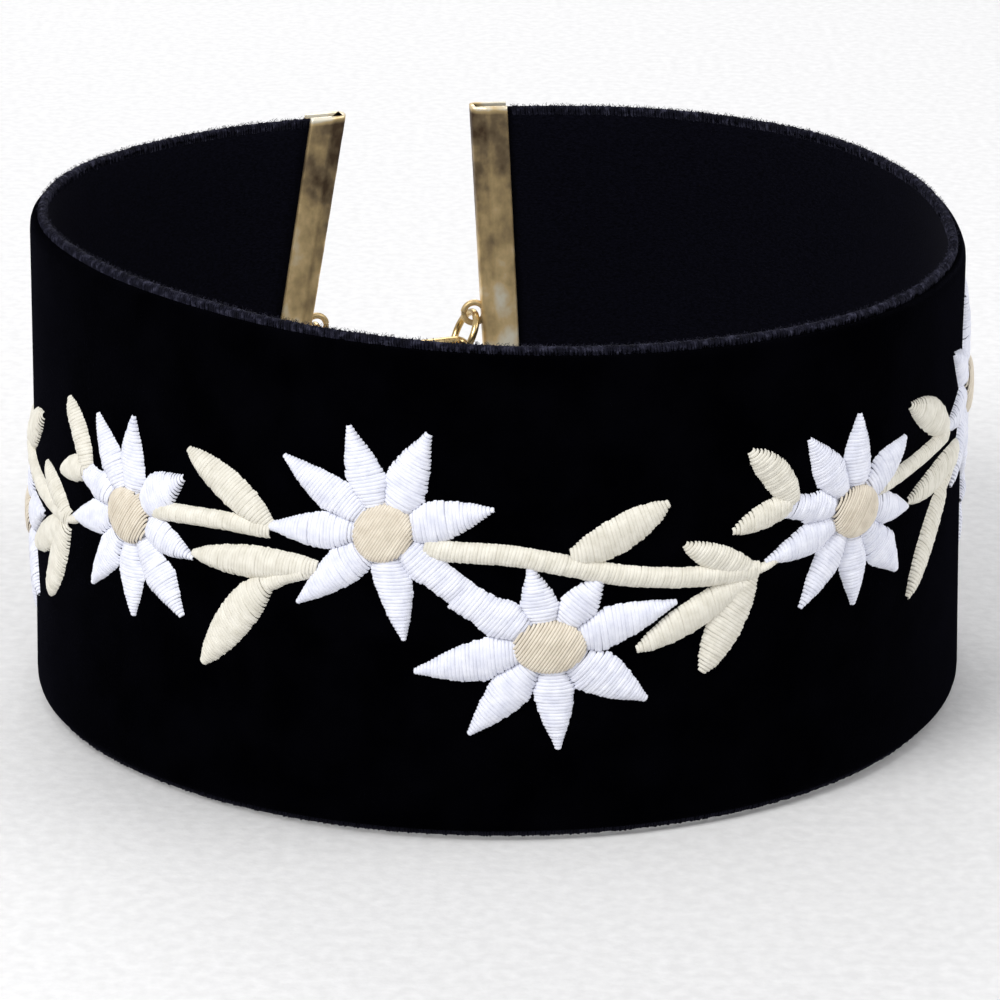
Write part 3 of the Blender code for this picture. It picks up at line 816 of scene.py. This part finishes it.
def centre_stitches(name):
    """Slanting rows of thread over a padded oval."""
    x, y, long_radius, short_radius, tilt = DAISIES[name]
    centre, tilt = pitches(x, y), math.radians(tilt)
    rng = np.random.default_rng(len(name))
    oval = np.array(((math.cos(tilt), -math.sin(tilt)), (math.sin(tilt), math.cos(tilt))))
    oval = oval @ np.diag(np.array((long_radius, short_radius)) * CENTRE_RADIUS)
    along = np.linalg.solve(oval, (math.cos(CENTRE_THREAD_ANGLE), math.sin(CENTRE_THREAD_ANGLE)))
    along /= np.hypot(*along)
    across = np.array((-along[1], along[0]))
    spread = np.sin(np.linspace(-math.pi / 2, math.pi / 2, CENTRE_POINTS))
    count = int(2 * CENTRE_RADIUS / CENTRE_THREAD_PITCH)
    stitches = []
    for i in range(count):
        side = (i + 0.5) / count * 2 - 1
        half = math.sqrt(1 - side * side) * (1 + rng.uniform(*CENTRE_REACH_VARIES))
        reach = half * spread
        flat = (side * across + reach[:, None] * along) @ oval.T
        dome = np.sqrt(np.clip(1 - side * side - reach * reach, 0, 1))
        peak = CENTRE_HEIGHT * (1 + rng.uniform(-CENTRE_VARIES, CENTRE_VARIES))
        up = dome**DOME_FULLNESS * peak - THREAD_THICKNESS / 2
        stitches.append(np.column_stack((centre + flat, up)))
    return stitches


def vine_stitches(name):
    """A vine's stem and its leaves in satin stitch."""
    stitches = []
    for number, (width, points) in enumerate(STEMS[name]):
        line = smoothed(np.array([pitches(*point) for point in points]))
        half = np.full(len(line), width * STEM_WIDTH / 2)
        stitches += cross_stitches(line, half, half, STEM_HEIGHT, seed=number + len(name))
    for number, (*ends, width) in enumerate(LEAVES[name]):
        line = bent_line(*pitches(*ends).reshape(3, 2))
        half = shape_halves(LEAF_SHAPE, LEAF_TIP, line, width * LEAF_WIDTH)
        stitches += cross_stitches(line, half, half, LEAF_HEIGHT, number + 7 * len(name), LEAF_SLANT)
    return stitches


def smoothed(line, count=40, rounds=6):
    """The same line with rounded corners, evenly spaced."""
    steps = np.hypot(*np.diff(line, axis=0).T)
    run = np.concatenate(([0.0], np.cumsum(steps)))
    at = np.linspace(0, run[-1], count)
    dense = np.column_stack([np.interp(at, run, line[:, k]) for k in (0, 1)])
    for _ in range(rounds):
        dense[1:-1] = (dense[:-2] + 2 * dense[1:-1] + dense[2:]) / 4
    return dense


def embroider(name, stitches, finish, slot, ending="", width=THREAD_WIDTH):
    """Satin stitch sewn flat, then laid on the ribbon for every copy of its pad, from the left."""
    flat = threads(name, stitches, finish, width, THREAD_THICKNESS)
    points = np.empty(len(flat.vertices) * 3)
    flat.vertices.foreach_get("co", points)
    number = 1
    while f"{name}_{number}{ending}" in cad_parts:
        pad = f"{name}_{number}{ending}"
        mesh = flat.copy()
        mesh.vertices.foreach_set("co", on_ribbon(points.reshape(-1, 3), number - FRONT_COPY).ravel())
        mesh.update()
        add_piece(f"{pad}_stitches", mesh, None, slot, pad)
        number += 1


def embroidery():
    white = satin_thread("white_satin_thread", (0.67, 0.685, 0.78), (0.82, 0.83, 0.905))
    cream = satin_thread("cream_satin_thread", (0.64, 0.61, 0.52), (0.78, 0.75, 0.66))
    beige = satin_thread("beige_centre_thread", (0.62, 0.55, 0.44), (0.75, 0.68, 0.56))
    for name in DAISIES:
        embroider(name, daisy_stitches(name), white, "white_thread")
        embroider(name, centre_stitches(name), beige, "cream_thread", "_centre", CENTRE_THREAD_WIDTH)
    for name in LEAVES:
        embroider(name, vine_stitches(name), cream, "cream_thread")


# Ribbon

def ribbon_outline(pile):
    """Height, outward offset and finish round the ribbon's section, from the back's lower edge."""
    half = GROUND_THICKNESS / 2 - EDGE_THREAD
    round_middle = RIBBON_WIDTH - EDGE_THREAD - half
    bare_from = RIBBON_WIDTH - BARE_EDGE
    turns = np.radians(np.linspace(0, 180, ROUND_POINTS))
    back = np.linspace(BACK_MARGIN, RIBBON_WIDTH - BACK_MARGIN, BACK_LEVELS)
    front = np.linspace(RIBBON_WIDTH - PILE_MARGIN, PILE_MARGIN, PILE_LEVELS)
    edge = []
    for t in turns:
        edge.append((round_middle + half * math.sin(t), MIDDLE_OF_GROUND - half * math.cos(t), SELVEDGE))
    edge.append((bare_from, GROUND_OUTSIDE - EDGE_THREAD, SELVEDGE))
    for inward, rise in PILE_RISE:
        edge.append((bare_from - inward * PILE_SHOULDER, GROUND_OUTSIDE + rise * pile, PILE))
    rows = [(height, GROUND_INSIDE, BACK) for height in back]
    rows += edge
    rows += [(height, GROUND_OUTSIDE + pile, PILE) for height in front]
    rows += [(RIBBON_WIDTH - height, out, finish) for height, out, finish in reversed(edge)]
    return rows


def velvet_ribbon():
    start = LEFT_END + CRIMP_WALL + SEAT_GAP
    end = RIGHT_END - CRIMP_WALL - SEAT_GAP
    stations = np.linspace(start, end, RIBBON_STATIONS)
    sections = []
    for along in stations:
        inside = min(along - LEFT_END, RIGHT_END - along)
        freed = float(smooth_step((inside - CRIMP_DEPTH - SEAT_GAP) / CRIMP_DEPTH))
        rows = ribbon_outline(CRUSHED_PILE + (PILE_THICKNESS - CRUSHED_PILE) * freed)
        section = np.array([row[:2] for row in rows])
        sections.append(place(along, section[:, 0], section[:, 1]))
    mesh = lofted("velvet_ribbon", sections)
    finishes = [row[2] for row in ribbon_outline(PILE_THICKNESS)]
    pairs = zip(finishes, finishes[1:] + finishes[:1])
    slots = [BACK if BACK in pair else max(pair) for pair in pairs] * (len(stations) - 1)
    materials = [woven_back(), selvedge_weave("grey_selvedge_weave"), velvet_pile()]
    ribbon = add_piece("velvet_ribbon", mesh, materials, "velvet", "velvet_band")
    mesh.polygons.foreach_set("material_index", slots + [SELVEDGE, SELVEDGE])
    edges = selvedge_threads()


def edge_turns(rng, start, end, lower):
    """Weft threads that turn round one edge of the woven ground."""
    half = GROUND_THICKNESS / 2 - EDGE_THREAD / 2
    angles = np.radians(np.linspace(*TURN_ANGLES, TURN_POINTS))
    out = MIDDLE_OF_GROUND - half * np.clip(np.cos(angles) * TURN_SPREAD, -1, 1)
    foot = np.where((angles < 0) | (angles > math.pi), TURN_FOOT, 0.0)
    turns = []
    for along in np.arange(start, end, EDGE_THREAD_PITCH):
        along = along + rng.uniform(-TURN_WANDER, TURN_WANDER)
        proud = rng.uniform(-TURN_SINK, 0.0)
        lean = rng.uniform(*TURN_LEAN)
        height = RIBBON_WIDTH - EDGE_THREAD - half + proud + half * np.sin(angles) - foot
        height = RIBBON_WIDTH - height if lower else height
        turns.append(place(along + lean * np.linspace(-1, 1, TURN_POINTS), height, out))
    return turns


def loose_fibres(rng, start, end):
    """Short bent fibres that stand out of the upper edge."""
    half = GROUND_THICKNESS / 2 - EDGE_THREAD / 2
    reach = np.array(FUZZ_REACH)
    fibres = []
    for _ in range(FUZZ_FIBRES):
        along, angle = rng.uniform(start, end), math.radians(rng.uniform(*FUZZ_ANGLES))
        length, bend = rng.uniform(*FUZZ_LENGTH), rng.uniform(-FUZZ_BEND, FUZZ_BEND)
        height = RIBBON_WIDTH - EDGE_THREAD - half + (half + reach * length) * math.sin(angle)
        out = MIDDLE_OF_GROUND - (half + reach * length) * math.cos(angle)
        fibres.append(place(along + bend * reach**2, height, out))
    return fibres


def selvedge_threads():
    """Turned threads along both edges between the crimps, and fuzz on the upper edge, drawn in turn."""
    rng = np.random.default_rng(SELVEDGE_SEED)
    start = LEFT_END + CRIMP_DEPTH + SEAT_GAP
    end = RIGHT_END - CRIMP_DEPTH - SEAT_GAP
    grey = selvedge_weave("grey_selvedge_thread")
    # Painted shade: the lower edge's threads are a darkened copy of the same grey selvedge weave, for the
    # shaded underside
    shaded_lower_copy = selvedge_weave("lower_selvedge_thread_painted_shade", (0.008, 0.008, 0.015))
    lines = {
        "upper_selvedge_turns": (edge_turns(rng, start, end, False), grey, EDGE_THREAD, TURN_SIDES),
        "selvedge_fuzz": (loose_fibres(rng, start, end), grey, FUZZ_WIDTH, FUZZ_SIDES),
        "lower_selvedge_turns": (edge_turns(rng, start, end, True), shaded_lower_copy, EDGE_THREAD, TURN_SIDES),
    }
    pieces = []
    for name, (paths, finish, width, sides) in lines.items():
        pieces.append(add_piece(name, threads(name, paths, finish, width, width, sides), None, "velvet"))
    return pieces


# Metal

def crimp_outline():
    """Distance in from the crimp's folded edge and outward offset, round the folded channel."""
    inner = GROUND_INSIDE - SEAT_GAP
    outer = GROUND_OUTSIDE + CRUSHED_PILE + SEAT_GAP
    low, high = inner - CRIMP_WALL, outer + CRIMP_WALL
    lip = CRIMP_WALL / 2
    turns = np.radians(np.linspace(0, 90, FOLD_POINTS))
    back = turns[::-1]
    creased = low + CREASE_DROP
    fold = CRIMP_FOLD
    rows = [(CRIMP_DEPTH - lip * (1 - math.sin(t)), high - lip * (1 - math.cos(t))) for t in back]
    rows += [(fold * (1 - math.sin(t)), high - fold * (1 - math.cos(t))) for t in turns]
    rows += [(fold * (1 - math.cos(t)), creased + (fold - CREASE_DROP) * (1 - math.sin(t))) for t in turns]
    rows += [(CRIMP_CREASE - CREASE_HALF, low + CREASE_STEP), (CRIMP_CREASE, low)]
    rows += [(CRIMP_CREASE + CREASE_HALF, low)]
    rows += [(CRIMP_DEPTH - lip * (1 - math.cos(t)), low + lip * (1 - math.sin(t))) for t in back]
    rows += [(CRIMP_DEPTH, inner), (CRIMP_WALL, inner), (CRIMP_WALL, outer), (CRIMP_DEPTH, outer)]
    return np.array(rows)


def ribbon_crimp(name, end, inward, finish):
    """Folded brass channel with slight dents from being squeezed shut, and its eyelet."""
    section = crimp_outline()
    is_outer = np.arange(len(section)) < len(section) - INNER_CORNERS
    outside = np.sign(section[:, 1] - MIDDLE_IN_CRIMP)
    low_end = CRIMP_END * np.array(CRIMP_END_LEVELS)
    middle_levels = np.linspace(CRIMP_END, RIBBON_WIDTH - CRIMP_END, CRIMP_LEVELS)
    levels = np.concatenate((low_end, middle_levels, RIBBON_WIDTH - low_end[::-1]))
    sections = []
    for height in levels:
        from_end = min(1.0, min(height, RIBBON_WIDTH - height) / CRIMP_END)
        tuck = CRIMP_END * CRIMP_TUCK * (1 - math.sqrt(1 - (1 - from_end) ** 2))
        long_wave = math.sin(height * DENT_WAVES[0])
        short_wave = math.sin(height * DENT_WAVES[1] + DENT_SHIFT)
        dent = DENT_DEPTH * long_wave * short_wave
        out = section[:, 1] - outside * np.where(is_outer, tuck + dent, 0)
        sections.append(place(end + inward * section[:, 0], height, out))
    eyelet = wire_mesh(name, ring_points(eyelet_place(end, inward), EYELET_RADIUS), EYELET_WIRE, finish)
    mesh = joined(name, [lofted(name, sections), eyelet])
    from_fold = np.tile(section[:, 0] / CRIMP_DEPTH, len(levels))
    from_fold = np.concatenate((from_fold, np.zeros(len(eyelet.vertices))))
    mesh.attributes.new("from_fold", "FLOAT", "POINT").data.foreach_set("value", from_fold)
    add_piece(f"{name}_brass", mesh, [finish], "antique_brass", name)


def eyelet_place(end, inward):
    """Middle of an eyelet's hole. inward is +1 at the left end of the ribbon and -1 at the right."""
    along = end - inward * (EYELET_RADIUS - EYELET_WIRE)
    return frame_at(along, HALF_HEIGHT + EYELET_RAISE, MIDDLE_IN_CRIMP)


def ring_points(frame_of_ring, radius, count=EYELET_POINTS):
    turns = np.linspace(0, 2 * math.pi, count, endpoint=False)
    return [frame_of_ring @ Vector((radius * math.cos(t), radius * math.sin(t), 0)) for t in turns]


def wire_mesh(name, loop, radius, finish):
    """Closed loop of round wire."""
    return threads(name, [loop], finish, 2 * radius, 2 * radius, WIRE_SIDES, closed=True)


def hook_points(base, reach):
    """Loop of the clasp's hook, from beside its eye to past the further jump ring."""
    half = (CLASP_WIDTH - 2 * CLASP_WIRE) / 2
    near = EYELET_RADIUS + CLASP_NECK_START
    far = reach + CLASP_PLAY - half
    turns = np.radians(np.linspace(-90, 90, BOW_POINTS))
    bow = [(far + half * math.cos(t), half * math.sin(t)) for t in turns]
    neck = [(near + half * away, half * sideways) for away, sideways in CLASP_NECK]
    return [base @ Vector((x, y, 0)) for x, y in bow + neck]


def closure():
    """Jump ring, clasp and jump ring, hanging slack from eyelet to eyelet."""
    gold = pale_gold()
    left, right = eyelet_place(LEFT_END, 1).translation, eyelet_place(RIGHT_END, -1).translation
    up = Vector((0, 0, 1))
    line = (right - left).normalized()
    across = up.cross(line)
    feet = []
    for name, eyelet, way in (("left_jump_ring", left, line), ("right_jump_ring", right, -line)):
        down = way * math.cos(RING_HANG) - up * math.sin(RING_HANG)
        turn = Matrix((down, across, down.cross(across))).transposed().to_4x4()
        hung = Matrix.Translation(eyelet + down * JUMP_RING_RADIUS) @ turn
        ring = wire_mesh(name, ring_points(hung, JUMP_RING_RADIUS, JUMP_RING_POINTS), JUMP_RING_WIRE, gold)
        add_piece(f"{name}_wire", ring, None, "gold_plate", name)
        feet.append(eyelet + down * 2 * JUMP_RING_RADIUS)
    base = Matrix.Translation(feet[0]) @ Matrix((line, up, line.cross(up))).transposed().to_4x4()
    hook = wire_mesh("hook", hook_points(base, (feet[1] - feet[0]).length), CLASP_WIRE, gold)
    eye = wire_mesh("eye", ring_points(base, EYELET_RADIUS), CLASP_EYE_WIRE, gold)
    clasp = joined("lobster_clasp", [hook, eye])
    add_piece("lobster_clasp_wire", clasp, [gold], "gold_plate", "lobster_clasp")


def metalwork():
    brass = aged_brass()
    ribbon_crimp("left_ribbon_crimp", LEFT_END, 1, brass)
    ribbon_crimp("right_ribbon_crimp", RIGHT_END, -1, brass)
    closure()


# Setting

def camera():
    up = Vector((0, math.sin(CAMERA_ELEVATION), math.cos(CAMERA_ELEVATION)))
    forward = Vector((0, math.cos(CAMERA_ELEVATION), -math.sin(CAMERA_ELEVATION)))
    right = Vector((1, 0, 0))
    middle = Vector((*LOOP_MIDDLE, HALF_HEIGHT))
    place_of_camera = middle - right * SUBJECT_RIGHT - up * SUBJECT_UP - forward * CAMERA_DISTANCE
    data = bpy.data.cameras.new("camera")
    data.sensor_width = SENSOR
    data.lens = SENSOR * FOCAL_PIXELS / PHOTO_PIXELS
    data.clip_start = NEAR_CLIP
    taker = bpy.data.objects.new("camera", data)
    bpy.context.scene.collection.objects.link(taker)
    turn = Matrix((right, up, -forward)).transposed() @ Matrix.Rotation(-CAMERA_ROLL, 3, "Z")
    taker.matrix_world = Matrix.Translation(place_of_camera) @ turn.to_4x4()
    bpy.context.scene.camera = taker


def floor():
    bm = bmesh.new()
    bmesh.ops.create_grid(bm, x_segments=2, y_segments=2, size=FLOOR_REACH)
    bm.transform(Matrix.Translation((0, 0, -FLOOR_DROP)))
    mesh = bpy.data.meshes.new("floor")
    bm.to_mesh(mesh)
    bm.free()
    mesh.materials.append(pale_floor())
    ground = bpy.data.objects.new("floor", mesh)
    bpy.context.scene.collection.objects.link(ground)


def soft_box(name, position, size, power):
    data = bpy.data.lights.new(name, "AREA")
    data.shape = "DISK"
    data.size = size
    data.energy = power
    lamp = bpy.data.objects.new(name, data)
    bpy.context.scene.collection.objects.link(lamp)
    lamp.location = position
    lamp.rotation_euler = (LIT_POINT - Vector(position)).to_track_quat("-Z", "Y").to_euler()


def lights():
    bpy.context.scene.view_settings.view_transform = "Standard"
    world = bpy.data.worlds.new("studio")
    bpy.context.scene.world = world
    world.use_nodes = True
    sky = world.node_tree.nodes["Background"]
    sky.inputs["Color"].default_value = SKY_COLOUR
    sky.inputs["Strength"].default_value = SKY_STRENGTH
    for row in SOFT_BOXES:
        soft_box(*row)


THREAD = thread_tree()
camera()
velvet_ribbon()
embroidery()
metalwork()
floor()
lights()
